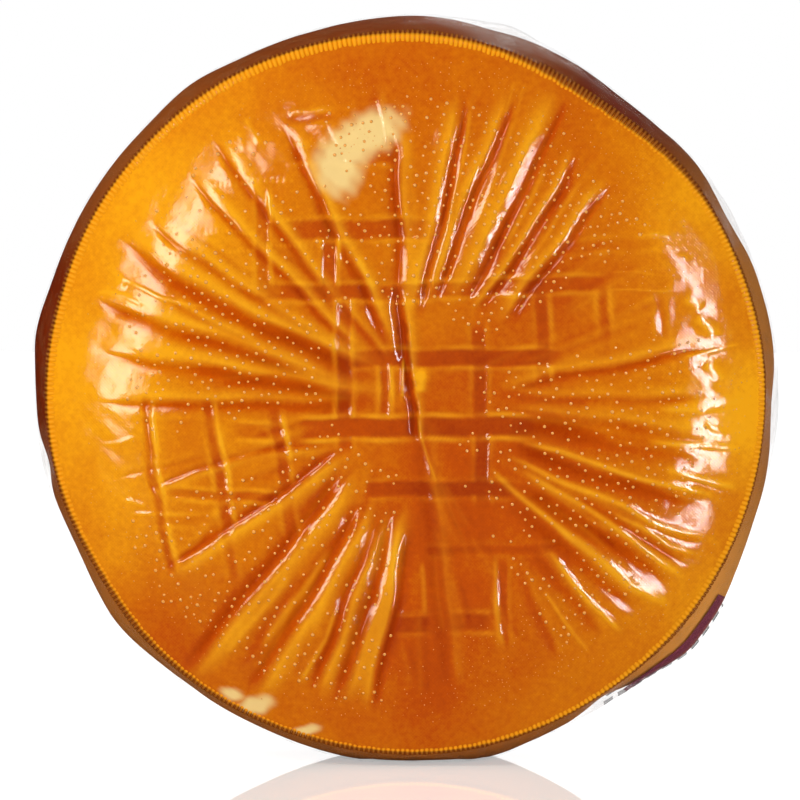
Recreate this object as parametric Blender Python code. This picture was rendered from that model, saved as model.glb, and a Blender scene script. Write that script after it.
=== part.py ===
"""Cheese wheel: a pressed, smoked wheel standing on its rim, shrink-wrapped in clear printed film.

Run with: blender --background --python part.py

Frame: metres, +Z up. The wheel's axis runs along Y and its pleated front face looks along -Y.
The origin is at the middle of the bounding box's bottom, on the flat that the wheel rests on.
A bearing is an angle round the wheel, in degrees clockwise from the top, seen from the front.
"""

import bpy
import numpy as np

MM = 0.001

# ---- driving dimensions (millimetres, degrees) ------------------------------------------------

BELLY_RADIUS = 152.0        # film's outer radius at the widest part of the side
EDGE_RADIUS = 144.2         # where the faces meet the side
REST_HEIGHT = 150.8         # axis above the floor: less than the belly, so the rim stands on a flat
EDGE_HALF = 27.5            # half the distance between the front and back edges
CREST_HALF = 38.0           # half the thickness over the swollen rings of the two faces
SIDE_POWER = 2.4            # how barrel-shaped the side is; 2 is a parabola, more is squarer

FILM_WALL = 0.5
FILM_GAP = 0.35             # clearance between the rind and the film where the film lies on it

CREST_AT = 0.60             # radius of the swollen ring of a face, as a share of the edge radius
DISH_DEPTH = 3.2            # how far the middle of a face is sunk below its swollen ring
SHOULDER_POWER = 1.9

# Lobes of the outline: bearing, height, half-width in degrees. The wheel was pressed and dropped by
# hand, so it is round only on the whole.
BELLY_LOBES = (
    (4, 1.7, 13), (16, 1.8, 5), (38, -3.0, 12), (68, -0.8, 14), (128, 5.4, 11), (133, 1.4, 3.5),
    (168, 2.9, 9), (186, 1.4, 9), (207, -0.9, 9), (231, 1.2, 5), (246, -1.9, 8), (279, 2.0, 6), (325, 1.5, 6),
)
EDGE_LOBES = (
    (0, 0.9, 14), (33, -3.1, 14), (68, -0.7, 12), (172, 1.1, 20), (240, -1.3, 11),
    (286, -0.7, 9), (332, 0.9, 14),
)
# Hollows of the rind that the film bridges: bearing, depth, half-width in degrees.
BRIDGED_HOLLOWS = (
    (15, 2.6, 6), (61, 2.0, 6), (93, 2.2, 7), (147, 3.0, 4), (218, 1.0, 6), (259, 2.2, 3.5),
)

# Folds that the cheesecloth pressed into the front face:
# bearing at the outer end, bearing at the inner end, outer radius, inner radius, depth.
FRONT_FOLDS = (
    (11.5, 10.5, 117, 38, 1.4), (21, 18, 134, 42, 1.8), (29, 31, 130, 50, 1.6), (36, 40, 112, 60, 1.3),
    (45, 53, 110, 54, 1.2), (82, 87, 134, 38, 1.4), (91, 94, 126, 44, 1.2), (105, 109, 132, 40, 1.6),
    (113.5, 117, 132, 52, 1.4), (127, 130, 134, 80, 1.6), (136, 140, 128, 70, 1.5), (152, 152, 116, 84, 1.0),
    (172, 174, 122, 24, 2.2), (185, 181, 124, 44, 1.8), (191.5, 189, 126, 44, 1.8),
    (197, 193, 128, 48, 1.8), (206, 203.5, 138, 44, 2.4), (218, 218, 142, 38, 2.0),
    (233, 233, 118, 38, 1.8), (248, 248, 102, 74, 1.2), (267.5, 267.5, 120, 60, 1.2),
    (277.5, 273, 124, 68, 1.4), (287, 280, 132, 40, 1.6), (297.5, 292, 130, 38, 2.2),
    (314, 314, 116, 50, 1.4), (322.5, 322.5, 124, 70, 1.2), (335, 336, 112, 42, 1.6),
    (357, 357, 106, 40, 1.2),
)
FOLD_HALF_WIDTH = 2.6

# Shallower, wider folds of the back face.
BACK_FOLD_COUNT = 11
BACK_FOLD_DEPTH = 1.1
BACK_FOLD_HALF_WIDTH = 4.0

# The pinched slit at the middle of the front face, as x and height above the axis, top to bottom.
SLIT_TOP = (-1.2, 39.5)
SLIT_BOTTOM = (3.6, -16.5)
SLIT_DEPTH = 4.0
SLIT_HALF_WIDTH = 3.4

# Mesh grid
SIDE_SPOKES = 72
FACE_SPOKES = 144
MIDDLE_SPOKES = 36
SIDE_PLACES = (-1.0, -0.85, -0.62, -0.3, 0.0, 0.3, 0.62, 0.85, 1.0)   # rings across the side


# ---- shape functions (all take and give numpy arrays, in millimetres and degrees) ---------------

def bearings(count):
    """Evenly spaced bearings, starting at the top."""
    return np.arange(count) * 360.0 / count


def turn_between(a, b):
    """Signed turn from bearing b to bearing a, from -180 to 180."""
    return (np.asarray(a) - b + 180.0) % 360.0 - 180.0


def lobes(bearing, rows):
    """Sum of bell-shaped lobes round the outline."""
    return sum(height * np.exp(-(turn_between(bearing, at) / width) ** 2) for at, height, width in rows)


def film_radius(bearing, across, inward):
    """Film surface a distance inward of its outer skin; across runs from -1 at the front edge to 1."""
    edge = EDGE_RADIUS + FILM_GAP + FILM_WALL + lobes(bearing, EDGE_LOBES)
    belly = BELLY_RADIUS + lobes(bearing, BELLY_LOBES)
    barrel = edge + (belly - edge) * (1.0 - np.abs(across) ** SIDE_POWER)
    down = -np.cos(np.radians(bearing))
    floor = np.where(down > 0.5, (REST_HEIGHT - inward) / np.maximum(down, 0.5), np.inf)
    return np.minimum(barrel - inward, floor)


def rind_radius(bearing, across):
    """Side of the cheese: it lies under the film, and falls away from it in the bridged hollows."""
    hollow = lobes(bearing, BRIDGED_HOLLOWS) * (1.0 - np.abs(across) ** SIDE_POWER)
    return film_radius(bearing, across, FILM_WALL + FILM_GAP) - hollow


def face_rise(share):
    """Height of a plain face above its edge, at a share of the edge radius: dish, ring, shoulder."""
    rise = CREST_HALF - EDGE_HALF
    shoulder = np.clip((share - CREST_AT) / (1.0 - CREST_AT), 0.0, 1.0) ** SHOULDER_POWER
    dish = np.clip(1.0 - (share / CREST_AT) ** 2, 0.0, 1.0) ** 2
    return rise * (1.0 - shoulder) - DISH_DEPTH * dish


def fold_depth(bearing, radius, outer_bearing, inner_bearing, outer, inner, depth, half_width):
    """Depth of one fold: a valley along its line, fading out at both ends."""
    along = np.clip((outer - radius) / (outer - inner), 0.0, 1.0)
    line = outer_bearing + (inner_bearing - outer_bearing) * along
    aside = np.radians(turn_between(bearing, line)) * radius
    ends = np.clip((outer + 6.0 - radius) / 12.0, 0.0, 1.0) * np.clip((radius - inner + 8.0) / 16.0, 0.0, 1.0)
    return depth * ends * np.exp(-(aside / half_width) ** 2)


def front_relief(bearing, radius):
    """Everything pressed into the front face: the folds and the pinched slit."""
    depth = sum(fold_depth(bearing, radius, *fold, FOLD_HALF_WIDTH) for fold in FRONT_FOLDS)
    x = radius * np.sin(np.radians(bearing))
    z = radius * np.cos(np.radians(bearing))
    run = np.clip((z - SLIT_BOTTOM[1]) / (SLIT_TOP[1] - SLIT_BOTTOM[1]), 0.0, 1.0)
    aside = x - (SLIT_BOTTOM[0] + (SLIT_TOP[0] - SLIT_BOTTOM[0]) * run)
    beyond = z - (SLIT_BOTTOM[1] + (SLIT_TOP[1] - SLIT_BOTTOM[1]) * run)
    return depth + SLIT_DEPTH * np.exp(-(aside ** 2 + beyond ** 2) / SLIT_HALF_WIDTH ** 2)


def back_relief(bearing, radius):
    """Shallow folds spread evenly over the back face."""
    depth = 0.0
    for index in range(BACK_FOLD_COUNT):
        at = (index + 0.5) * 360.0 / BACK_FOLD_COUNT
        reach = 112.0 + 12.0 * np.sin(2.3 * index)
        fold = (at, at + 4.0, reach, 46.0, BACK_FOLD_DEPTH)
        depth = depth + fold_depth(bearing, radius, *fold, BACK_FOLD_HALF_WIDTH)
    return depth


# ---- rings and meshes ---------------------------------------------------------------------------

def ring(bearing, radius, y):
    """Points round the axis at a radius and a place along Y, in metres above the floor."""
    turn = np.radians(bearing)
    points = (radius * np.sin(turn), y + 0.0 * turn, REST_HEIGHT + radius * np.cos(turn))
    return np.stack(points, axis=1) * MM


def face_ring(count, share, side, relief):
    """One ring of a face. side is -1 for the front and 1 for the back."""
    bearing = bearings(count)
    radius = share * rind_radius(bearing, 1.0)
    return ring(bearing, radius, side * (EDGE_HALF + face_rise(share) - relief(bearing, radius)))


def face_rings(side, relief, outer_spokes):
    """Rings of a face from just inside its edge to its middle, with fewer spokes further in."""
    outer = [face_ring(outer_spokes, share, side, relief)
             for share in (0.975, 0.94, 0.89, 0.83, 0.76, 0.68, 0.6, 0.52, 0.44)]
    inner = [face_ring(SIDE_SPOKES, share, side, relief) for share in (0.36, 0.29, 0.22)]
    middle = [face_ring(MIDDLE_SPOKES, share, side, relief) for share in (0.15, 0.08)]
    return outer + inner + middle


def strip(first, first_count, second, second_count):
    """Triangles between two rings of points; where one ring has fewer, its points take more each."""
    triangles = []
    steps = max(first_count, second_count)
    for step in range(steps):
        a0 = first + step * first_count // steps
        a1 = first + (step + 1) * first_count // steps % first_count
        b0 = second + step * second_count // steps
        b1 = second + (step + 1) * second_count // steps % second_count
        triangles += [t for t in ((a0, a1, b1), (a0, b1, b0)) if len(set(t)) == 3]
    return triangles


def wall(rings, first, inside=False):
    """Triangles joining rings one to the next; first is the number of the first ring's first point."""
    triangles = []
    for near, far in zip(rings, rings[1:]):
        triangles += strip(first, len(near), first + len(near), len(far))
        first += len(near)
    return [t[::-1] for t in triangles] if inside else triangles


def cap(pole, first, count, facing_back):
    """Fan of triangles from a pole to a ring of points."""
    fan = [(pole, first + (step + 1) % count, first + step) for step in range(count)]
    return [t[::-1] for t in fan] if facing_back else fan


def solid(name, points, triangles, finish):
    """Object with its mesh in place."""
    mesh = bpy.data.meshes.new(name)
    mesh.from_pydata(points.tolist(), [], triangles)
    mesh.materials.append(finish)
    mesh.shade_smooth()
    mesh.set_sharp_from_angle(angle=np.radians(40.0))
    thing = bpy.data.objects.new(name, mesh)
    bpy.context.scene.collection.objects.link(thing)
    return thing


def material(name, colour, roughness, alpha=1.0):
    """Plain Principled finish."""
    finish = bpy.data.materials.new(name)
    finish.use_nodes = True
    shader = finish.node_tree.nodes["Principled BSDF"]
    shader.inputs["Base Color"].default_value = (*colour, 1.0)
    shader.inputs["Roughness"].default_value = roughness
    shader.inputs["Metallic"].default_value = 0.0
    shader.inputs["Alpha"].default_value = alpha
    return finish


# ---- the two pieces -----------------------------------------------------------------------------

def cheese_wheel():
    """The cheese: one solid, from the middle of the front face over the rim to the back."""
    front = face_rings(-1, front_relief, FACE_SPOKES)
    back = face_rings(1, back_relief, SIDE_SPOKES)
    around = bearings(SIDE_SPOKES)
    side = [ring(around, rind_radius(around, across), across * EDGE_HALF) for across in SIDE_PLACES]
    rings = front[::-1] + side + back
    poles = [rings[0].mean(axis=0), rings[-1].mean(axis=0)]
    points = np.concatenate(rings + [poles])
    count, first, last = len(points) - 2, len(rings[0]), len(rings[-1])
    triangles = wall(rings, 0) + cap(count, 0, first, False) + cap(count + 1, count - last, last, True)
    return solid("cheese_wheel", points, triangles, material("smoked_rind", (0.78, 0.25, 0.02), 0.35))


def shrink_film():
    """The clear film round the rim, from the front edge to the back edge: two walls and two edges."""
    around = bearings(SIDE_SPOKES)
    outer = [ring(around, film_radius(around, at, 0.0), at * EDGE_HALF) for at in SIDE_PLACES]
    inner = [ring(around, film_radius(around, at, FILM_WALL), at * EDGE_HALF) for at in SIDE_PLACES]
    half = SIDE_SPOKES * len(SIDE_PLACES)
    last = half - SIDE_SPOKES
    triangles = wall(outer, 0) + wall(inner, half, inside=True)
    triangles += strip(half, SIDE_SPOKES, 0, SIDE_SPOKES)
    triangles += strip(last, SIDE_SPOKES, half + last, SIDE_SPOKES)
    finish = material("shrink_film", (0.83, 0.74, 0.70), 0.12, alpha=0.35)
    return solid("shrink_film", np.concatenate(outer + inner), triangles, finish)


def centre_on_origin(things):
    """Moves the meshes sideways so that the whole object's box is centred over the origin."""
    low = np.min([np.min([v.co for v in thing.data.vertices], axis=0) for thing in things], axis=0)
    high = np.max([np.max([v.co for v in thing.data.vertices], axis=0) for thing in things], axis=0)
    middle = (low + high) / 2.0
    for thing in things:
        for vertex in thing.data.vertices:
            vertex.co.x -= middle[0]
            vertex.co.y -= middle[1]


def main():
    for thing in list(bpy.data.objects):
        bpy.data.objects.remove(thing, do_unlink=True)
    centre_on_origin([cheese_wheel(), shrink_film()])


main()
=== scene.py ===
"""Looks of a smoked cheese wheel in clear shrink film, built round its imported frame.

The wheel stands on its rim. Its axis runs along Y and its pleated front face looks along -Y. On a
face, u runs to the right and v up, in millimetres from the axis, both as seen from the front. A
bearing is in degrees clockwise from the top, and `across` runs over the side from -1 at the front
edge to 1 at the back edge.
"""

import logging
from dataclasses import dataclass, field, replace
from enum import Enum

import bpy
import numpy as np
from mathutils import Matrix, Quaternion, Vector


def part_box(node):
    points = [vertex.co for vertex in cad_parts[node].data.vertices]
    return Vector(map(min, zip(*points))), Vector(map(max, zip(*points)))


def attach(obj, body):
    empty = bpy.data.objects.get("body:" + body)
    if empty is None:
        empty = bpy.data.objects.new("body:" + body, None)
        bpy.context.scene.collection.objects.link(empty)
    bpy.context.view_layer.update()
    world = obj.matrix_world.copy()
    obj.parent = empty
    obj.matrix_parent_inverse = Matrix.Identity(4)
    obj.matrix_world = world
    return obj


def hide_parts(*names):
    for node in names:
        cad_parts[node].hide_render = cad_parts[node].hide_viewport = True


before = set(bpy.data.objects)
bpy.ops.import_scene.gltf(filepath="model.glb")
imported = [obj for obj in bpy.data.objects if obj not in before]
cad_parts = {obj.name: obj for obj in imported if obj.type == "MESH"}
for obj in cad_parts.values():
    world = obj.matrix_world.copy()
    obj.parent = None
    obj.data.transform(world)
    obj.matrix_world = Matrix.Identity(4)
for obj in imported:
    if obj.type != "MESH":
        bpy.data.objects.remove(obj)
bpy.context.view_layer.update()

MM = 0.001
SEED = 41
LOG = logging.getLogger("cheese")


# ---- small helpers ------------------------------------------------------------------------------


def linear(hex_colour: str) -> tuple[float, float, float, float]:
    """Turns an sRGB hex colour into linear light.

    Args:
        hex_colour: A # and six hex digits.

    Returns:
        Linear red, green and blue, and a full alpha.
    """
    digits = hex_colour.lstrip("#")
    coded = np.array([int(digits[i : i + 2], 16) for i in (0, 2, 4)]) / 255.0
    light = np.where(coded <= 0.04045, coded / 12.92, ((coded + 0.055) / 1.055) ** 2.4)
    return (*(float(c) for c in light), 1.0)


def turn_between(a: np.ndarray, b: float) -> np.ndarray:
    """Signed turn in degrees from bearing b to the bearings a, from -180 to 180."""
    return (a - b + 180.0) % 360.0 - 180.0


def smooth(low: float, high: float, value: np.ndarray) -> np.ndarray:
    """Smoothstep from 0 at low to 1 at high; low may be the larger of the two."""
    t = np.clip((value - low) / (high - low), 0.0, 1.0)
    return t * t * (3.0 - 2.0 * t)


def bell(distance: np.ndarray, width: float) -> np.ndarray:
    """Bell curve, 1 at no distance and 1/e at one width."""
    return np.exp(-((distance / width) ** 2))


def ripple(u: np.ndarray, v: np.ndarray, size: float, phase: float) -> np.ndarray:
    """Smooth unevenness from -1 to 1: three crossed sine waves, `size` mm per wave."""
    k = 2.0 * np.pi / size
    waves = np.sin(k * (u + 0.31 * v) + phase) * np.sin(k * (0.83 * v - 0.22 * u) + 1.7 * phase)
    return 0.6 * waves + 0.4 * np.sin(k * 1.63 * (0.71 * u + 0.69 * v) + 2.9 * phase)


# ---- meshes from rings --------------------------------------------------------------------------


def strip(first: int, first_count: int, second: int, second_count: int) -> np.ndarray:
    """Triangles between two rings of points; where one ring has fewer, its points take more each.

    Args:
        first: Number of the first ring's first point.
        first_count: How many points the first ring has.
        second: Number of the second ring's first point.
        second_count: How many points the second ring has.

    Returns:
        Triangles as rows of three point numbers.
    """
    steps = max(first_count, second_count)
    step = np.arange(steps)
    a0 = first + step * first_count // steps
    a1 = first + (step + 1) * first_count // steps % first_count
    b0 = second + step * second_count // steps
    b1 = second + (step + 1) * second_count // steps % second_count
    triangles = np.concatenate([np.stack([a0, a1, b1], 1), np.stack([a0, b1, b0], 1)])
    p, q, r = triangles.T
    return triangles[(p != q) & (q != r) & (r != p)]


def skin(rings: list[np.ndarray], loop: bool = False, poles: bool = False) -> tuple[np.ndarray, np.ndarray]:
    """Joins rings of points one to the next.

    Args:
        rings: Arrays of points, each a closed ring, all running the same way round.
        loop: Whether the last ring joins the first again, as on a hoop.
        poles: Whether the first and last ring close on a point in their middles.

    Returns:
        All points, and the triangles as rows of three point numbers.
    """
    counts = [len(ring) for ring in rings]
    starts = np.cumsum([0] + counts)
    pairs = [(i, i + 1) for i in range(len(rings) - 1)] + ([(len(rings) - 1, 0)] if loop else [])
    faces = [strip(starts[a], counts[a], starts[b], counts[b]) for a, b in pairs]
    points = list(rings)
    if poles:
        points += [rings[0].mean(axis=0)[None], rings[-1].mean(axis=0)[None]]
        faces.append(strip(starts[-1], 1, starts[0], counts[0]))
        faces.append(strip(starts[-2], counts[-1], starts[-1] + 1, 1))
    return np.concatenate(points), np.concatenate(faces)


def ring(bearing: np.ndarray, radius: np.ndarray, y: np.ndarray) -> np.ndarray:
    """Points round the axis: u is radius times the bearing's sine, v its cosine, as (u, y, v) rows."""
    turn = np.radians(bearing)
    flat = np.zeros_like(bearing, dtype=float)
    return np.stack([radius * np.sin(turn), y + flat, radius * np.cos(turn)], axis=1)


def bearings(count: int) -> np.ndarray:
    """Evenly spaced bearings from the top."""
    return np.arange(count) * 360.0 / count


# ---- where the wheel stands ---------------------------------------------------------------------


@dataclass(frozen=True)
class Outline:
    """Plan outline and side profile of the wheel, in millimetres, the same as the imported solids'."""

    belly_radius: float = 152.0
    edge_radius: float = 144.2
    rest_height: float = 150.8
    edge_half: float = 27.5
    side_power: float = 2.4
    wall: float = 0.5
    gap: float = 0.35
    belly_lobes: tuple = (
        (4, 1.7, 13), (16, 1.8, 5), (38, -3.0, 12), (68, -0.8, 14), (128, 5.4, 11), (133, 1.4, 3.5),
        (168, 2.9, 9), (186, 1.4, 9), (207, -0.9, 9), (231, 1.2, 5), (246, -1.9, 8), (279, 2.0, 6),
        (325, 1.5, 6),
    )
    edge_lobes: tuple = (
        (0, 0.9, 14), (33, -3.1, 14), (68, -0.7, 12), (172, 1.1, 20), (240, -1.3, 11),
        (286, -0.7, 9), (332, 0.9, 14),
    )
    hollows: tuple = (
        (15, 2.6, 6), (61, 2.0, 6), (93, 2.2, 7), (147, 3.0, 4), (218, 1.0, 6), (259, 2.2, 3.5),
    )

    @staticmethod
    def lobes(bearing: np.ndarray, rows: tuple) -> np.ndarray:
        """Sum of bell-shaped lobes: each row is a bearing, a height and a half-width in degrees."""
        return sum(height * bell(turn_between(bearing, at), width) for at, height, width in rows)

    def film(self, bearing: np.ndarray, across: np.ndarray, inward: float) -> np.ndarray:
        """Radius of the film, `inward` mm inside its outer skin.

        The side is a barrel, edge + (belly - edge)(1 - |across|^power), cut off by the floor.
        """
        edge = self.edge_radius + self.gap + self.wall + self.lobes(bearing, self.edge_lobes)
        belly = self.belly_radius + self.lobes(bearing, self.belly_lobes)
        barrel = edge + (belly - edge) * (1.0 - np.abs(across) ** self.side_power)
        down = -np.cos(np.radians(bearing))
        floor = np.where(down > 0.5, (self.rest_height - inward) / np.maximum(down, 0.5), np.inf)
        return np.minimum(barrel - inward, floor)

    def rind(self, bearing: np.ndarray, across: np.ndarray) -> np.ndarray:
        """Radius of the cheese's side: under the film, and falling away from it in the hollows."""
        hollow = self.lobes(bearing, self.hollows) * (1.0 - np.abs(across) ** self.side_power)
        return self.film(bearing, across, self.wall + self.gap) - hollow


class Place:
    """Carries (u, y, v) millimetres round the axis to the frame's metres."""

    def __init__(self, outline: Outline) -> None:
        """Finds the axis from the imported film: its sides in the middle of X, its foot on the floor."""
        around = ring(bearings(1440), outline.film(bearings(1440), 0.0, 0.0), 0.0)
        low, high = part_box("shrink_film")
        self.offset = np.array([
            (low[0] + high[0]) / 2.0 - MM * (around[:, 0].min() + around[:, 0].max()) / 2.0,
            (low[1] + high[1]) / 2.0,
            low[2] + MM * outline.rest_height,
        ])

    def metres(self, points: np.ndarray) -> np.ndarray:
        """Frame coordinates in metres of points in millimetres."""
        return points * MM + self.offset


@dataclass(frozen=True)
class Piece:
    """A mesh worked out in millimetres, with the point attributes that its finish reads."""

    name: str
    points: np.ndarray
    triangles: np.ndarray
    slot: str
    attributes: dict[str, np.ndarray] = field(default_factory=dict)

    def place(self, place: Place, finish: bpy.types.Material, stands_for: str = "") -> bpy.types.Object:
        """Makes the object, dresses it and hangs it on the frame.

        Args:
            place: Where the wheel stands.
            finish: The piece's material.
            stands_for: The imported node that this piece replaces, if it does.

        Returns:
            The new object.
        """
        mesh = bpy.data.meshes.new(self.name)
        mesh.from_pydata(place.metres(self.points), [], self.triangles)
        for name, values in self.attributes.items():
            layer = mesh.attributes.new(name, "FLOAT", "POINT")
            layer.data.foreach_set("value", np.ascontiguousarray(values, dtype=np.float32))
        mesh.shade_smooth()
        mesh.materials.append(finish)
        thing = bpy.data.objects.new(self.name, mesh)
        bpy.context.scene.collection.objects.link(thing)
        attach(thing, "root")
        if stands_for:
            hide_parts(stands_for)
        LOG.info("%s: %d triangles", self.name, len(self.triangles))
        return thing


# ---- what the cloth and the rack pressed into a face --------------------------------------------


Path = tuple[tuple[float, float], ...]
Tones = tuple[np.ndarray, np.ndarray, np.ndarray]


def beside(u: np.ndarray, v: np.ndarray, path: Path) -> tuple[np.ndarray, np.ndarray, float]:
    """Measures points against a path of straight runs.

    Each point belongs to its nearest run; before the first and after the last node the runs go on
    straight.

    Args:
        u, v: Where on the face.
        path: The path's nodes as (u, v).

    Returns:
        Distance along the path, distance beside it (above 0 on its right hand), and its length.
    """
    nodes = np.array(path)
    runs = np.diff(nodes, axis=0)
    lengths = np.hypot(*runs.T)
    starts = np.concatenate([[0.0], np.cumsum(lengths)])
    nearest, along, aside = np.full(u.shape, np.inf), np.zeros_like(u), np.zeros_like(u)
    for index, ((at_u, at_v), (run_u, run_v), length) in enumerate(zip(nodes, runs, lengths)):
        on = ((u - at_u) * run_u + (v - at_v) * run_v) / length
        off = ((u - at_u) * run_v - (v - at_v) * run_u) / length
        low = -np.inf if index == 0 else 0.0
        high = np.inf if index == len(runs) - 1 else length
        held = np.clip(on, low, high)
        distance = np.hypot(off, on - held)
        closer = distance < nearest
        nearest = np.where(closer, distance, nearest)
        along = np.where(closer, starts[index] + held, along)
        aside = np.where(closer, np.where(off < 0.0, -distance, distance), aside)
    return along, aside, float(starts[-1])


DEPTH_GRADE = 0.5     # millimetres that a valley goes down per grade
LIP_GRADE = 0.42      # millimetres that a lip rises per grade
WANDER = 0.33         # millimetres that a fold strays from its path
CUT_POWER = 1.7       # how square a valley is across: 2 would be a bell
STAIN_AND_SHADE_SPREAD = 1.4    # the darker tone beside a valley, partly staining and partly painted shade, as a share of the valley's half-width
STAIN_AND_SHADE_GRADE = 1.4     # the depth from which on that darker tone is full
INNER_LIP = 1.2       # how steep a lip's facet is at the inner end


@dataclass(frozen=True)
class Crease:
    """A fold of the cheesecloth pressed into a face: a valley with a raised lip beside it.

    Attributes:
        path: Nodes from the outer to the inner end, as (u, v) in millimetres.
        depth: Grade of the valley's depth; with none the fold is only a lip that runs on the path.
        width: The valley's half-width.
        lip: Grade of the lip's height.
        lip_width: The lip's half-width.
        side: Where the lip is: 1 on the path's right hand, -1 on its left.
        soft: How much wider the valley's far slope is than its slope at the lip.
        taper: How steep the lip's facet still is at the outer end, against INNER_LIP.
    """

    path: Path
    depth: float = 1.1
    width: float = 1.5
    lip: float = 0.5
    lip_width: float = 1.5
    side: int = -1
    soft: float = 1.5
    taper: float = 0.6

    def near(self, u: np.ndarray, v: np.ndarray) -> np.ndarray:
        """Which points lie close enough for this fold to matter."""
        reach = 14.0
        low, high = np.min(self.path, axis=0) - reach, np.max(self.path, axis=0) + reach
        return (u > low[0]) & (u < high[0]) & (v > low[1]) & (v < high[1])

    def relief(self, u: np.ndarray, v: np.ndarray, phase: float) -> Tones:
        """Height and tones of this fold alone.

        The distance from the path wanders on the way. Across it the height is a valley,
        exp(-|x|^power), a flat facet that climbs from it to the lip, and a longer fall behind the
        lip; along it all fade out towards the ends, taper and flatten towards the outer end, and
        swell and shrink a little between them. The darker tone of the valley, partly staining from
        smoking and partly painted shade, is wider than the valley. A fold with no valley is a
        bell-shaped welt.

        Args:
            u, v: Where on the face.
            phase: Makes this fold's wandering differ from the next one's.

        Returns:
            Height in millimetres, a tone that is 1 in the valley's bottom, partly staining and
            partly painted shade, and one that is 1 on the lip, partly painted highlight.
        """
        along, aside, length = beside(u, v, self.path)
        aside = self.side * (aside + WANDER * np.sin(along / 6.1 + 3.0 * phase))
        share = along / length
        fade = smooth(-0.04, 0.14, share) * smooth(1.06, 0.84, share)
        fade = fade * (0.92 + 0.08 * np.sin(along / 5.3 + phase))
        # a welt's tone is lighter along its crest: partly the rind's own colour, partly painted highlight
        if not self.depth:
            crest = bell(aside, self.lip_width)
            return fade * LIP_GRADE * self.lip * crest, 0.0 * aside, fade * crest**2.5 * min(1.0, self.lip)
        slope = self.width * (0.6 + 0.4 * smooth(0.0, 0.3, share))
        across = aside / slope / np.where(aside < 0.0, self.soft, 0.75)
        valley = np.exp(-(np.abs(across) ** CUT_POWER))
        facet, climbed = 1.7 * self.lip_width, aside - 0.5 * self.width
        lip = np.minimum(np.clip(climbed / facet, 0.0, 1.0), smooth(3.4 * facet, 0.75 * facet, climbed))
        steep = self.taper + (INNER_LIP - self.taper) * smooth(0.0, 0.75, share)
        rise = fade * (LIP_GRADE * self.lip * lip * steep - DEPTH_GRADE * self.depth * valley)
        # the darker tone round the valley: partly staining from smoking, partly painted shade
        stain_and_shade = fade * np.exp(-(np.abs(aside / (STAIN_AND_SHADE_SPREAD * slope)) ** CUT_POWER))
        return rise, stain_and_shade * min(1.0, self.depth / STAIN_AND_SHADE_GRADE), fade * lip**2.5 * min(1.0, self.lip)


@dataclass(frozen=True)
class Band:
    """A flat bar of the smoking rack pressed into a face, from one (u, v) to another.

    Attributes:
        start, end: Its ends.
        half: Its half-width.
        depth: How deep it is.
        left, right: Height of the rind squeezed up along its left and right hand.
    """

    start: tuple[float, float]
    end: tuple[float, float]
    half: float = 2.6
    depth: float = 0.5
    left: float = 0.22
    right: float = 0.22

    def relief(self, u: np.ndarray, v: np.ndarray) -> Tones:
        """Height and tones: a flat-bottomed channel between two narrow welts, all with soft ends."""
        along, aside, length = beside(u, v, (self.start, self.end))
        aside = aside + 0.3 * np.sin(along / 4.7 + self.start[0])
        open_ends = smooth(-4.0, 3.0, along) * smooth(length + 4.0, length - 3.0, along)
        inside = smooth(self.half + 0.7, self.half - 0.7, np.abs(aside)) * open_ends
        broken = 0.65 + 0.35 * np.sin(along / 3.9 + self.start[1])
        beyond = self.half + 1.2
        welts = self.left * bell(aside + beyond, 1.0) + self.right * bell(aside - beyond, 1.0)
        welts = welts * open_ends * broken
        # the channel's tone darkens the rind in it and the welts' tone lightens them: partly the rack's
        # mark, partly painted shade and painted highlight
        return 0.6 * (welts - self.depth * inside), inside * min(1.0, 2.0 * self.depth), 2.2 * welts


GATHER = (0.0, 2.7)   # where the cloth was pinched together, and the folds run to
HELD = 2.6            # millimetres that folds may add up to


def radial(outer_bearing: float, inner_bearing: float, outer: float, inner: float, *shape: float) -> Crease:
    """A straight fold that runs towards the gather point.

    Args:
        outer_bearing, inner_bearing: Bearings of its two ends round the gather point.
        outer, inner: Their distances from it.
        *shape: The rest of a Crease: depth, width, lip, lip_width, side, soft.

    Returns:
        The fold.
    """
    turn = np.radians([outer_bearing, inner_bearing])
    distance = np.array([outer, inner])
    ends = np.stack([GATHER[0] + distance * np.sin(turn), GATHER[1] + distance * np.cos(turn)], axis=1)
    return Crease(tuple(map(tuple, ends)), *shape)


TONES = ("height", "crease", "crest", "band", "pale", "smoke")


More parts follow.
